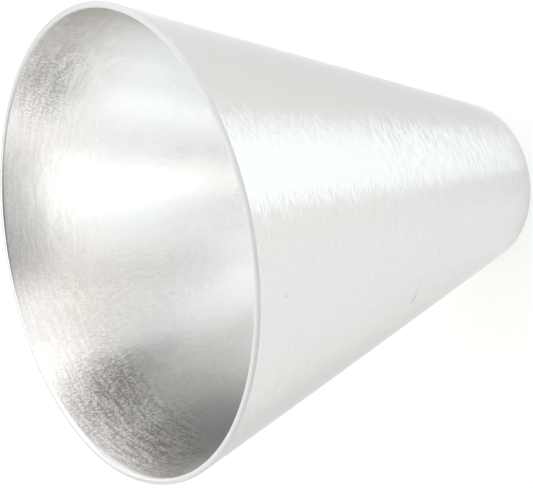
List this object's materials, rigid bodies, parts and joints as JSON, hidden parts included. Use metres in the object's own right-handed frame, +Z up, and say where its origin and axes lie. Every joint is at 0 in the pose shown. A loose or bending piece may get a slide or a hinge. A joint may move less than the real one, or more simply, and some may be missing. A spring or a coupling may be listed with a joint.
{
  "type": "spun metal cone",
  "caption": "Truncated cone spun from one even sheet of aluminium, open at both ends, with a burnished wide rim and a plainly trimmed narrow rim.",
  "frame": {"origin": "centre of the narrow rim, on the surface that the cone stands on", "axes": "+Z up along the cone's axis, from the narrow rim to the wide mouth; +X and +Y are any two square directions across it"},
  "size_m": [0.152, 0.1518, 0.165],
  "materials": {
    "spun_aluminium": "satin, brushed round the axis outside, tool-marked inside"
  },
  "bodies": {
    "root": {"spun_cone": "spun_aluminium"}
  },
  "joints": []
}
